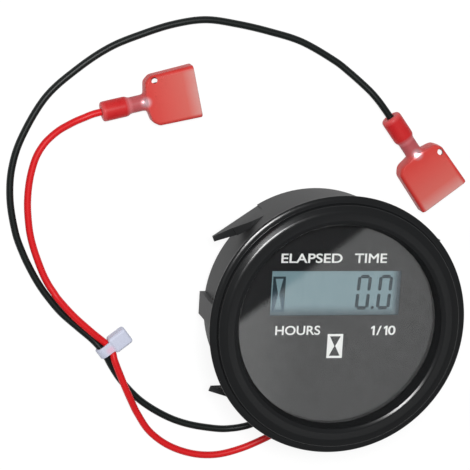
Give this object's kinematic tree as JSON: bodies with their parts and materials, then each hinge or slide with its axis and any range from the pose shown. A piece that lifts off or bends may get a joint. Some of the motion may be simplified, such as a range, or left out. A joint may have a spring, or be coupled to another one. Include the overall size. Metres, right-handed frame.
{
  "type": "hour meter",
  "caption": "Round panel-mounted LCD hour meter with a stepped black bezel, moulded snap-in wings and free leads that end in insulated push-on blade connectors.",
  "frame": {"origin": "on the table, on the meter's axis, at the rear of the case's foot arcs", "axes": "+Z out of the display, +X to the display's right, +Y to the display's top"},
  "size_m": [0.1054, 0.1021, 0.026],
  "materials": {
    "bezel_plastic": "satin moulded black",
    "clear_acrylic": "polished clear",
    "dial_film": "printed matt",
    "display_glass": "polished",
    "carrier_plastic": "moulded",
    "contact_rubber": "moulded",
    "plated_steel": "nickel plated",
    "board_laminate": "solder mask",
    "chip_resin": "moulded",
    "can_aluminium": "drawn",
    "varistor_coat": "dipped",
    "case_plastic": "fine spark texture",
    "grommet_rubber": "moulded",
    "red_insulation": "extruded",
    "black_insulation": "extruded",
    "natural_nylon": "translucent moulded",
    "tinned_brass": "tin plated",
    "red_nylon": "translucent moulded"
  },
  "bodies": {
    "root": {"bezel": "bezel_plastic", "lens": "clear_acrylic", "spacer_ring": "bezel_plastic", "dial_plate": "dial_film", "lcd_cell": "display_glass", "display_frame": "carrier_plastic", "upper_contact_strip": "contact_rubber", "lower_contact_strip": "contact_rubber", "frame_screws": "plated_steel", "circuit_board": "board_laminate", "controller_chip": "chip_resin", "memory_chip": "chip_resin", "quartz_crystal": "plated_steel", "lithium_cell": "plated_steel", "cell_tabs": "plated_steel", "filter_capacitor": "can_aluminium", "surge_varistor": "varistor_coat", "input_diode": "chip_resin", "chip_resistors": "chip_resin", "case": "case_plastic", "lead_grommet": "grommet_rubber", "red_lead_tail": "red_insulation", "black_lead_tail": "black_insulation", "red_lead": "red_insulation", "black_lead": "black_insulation", "cable_tie": "natural_nylon", "red_lead_terminal": "tinned_brass", "red_lead_sleeve": "red_nylon", "black_lead_terminal": "tinned_brass", "black_lead_sleeve": "red_nylon"}
  },
  "joints": []
}
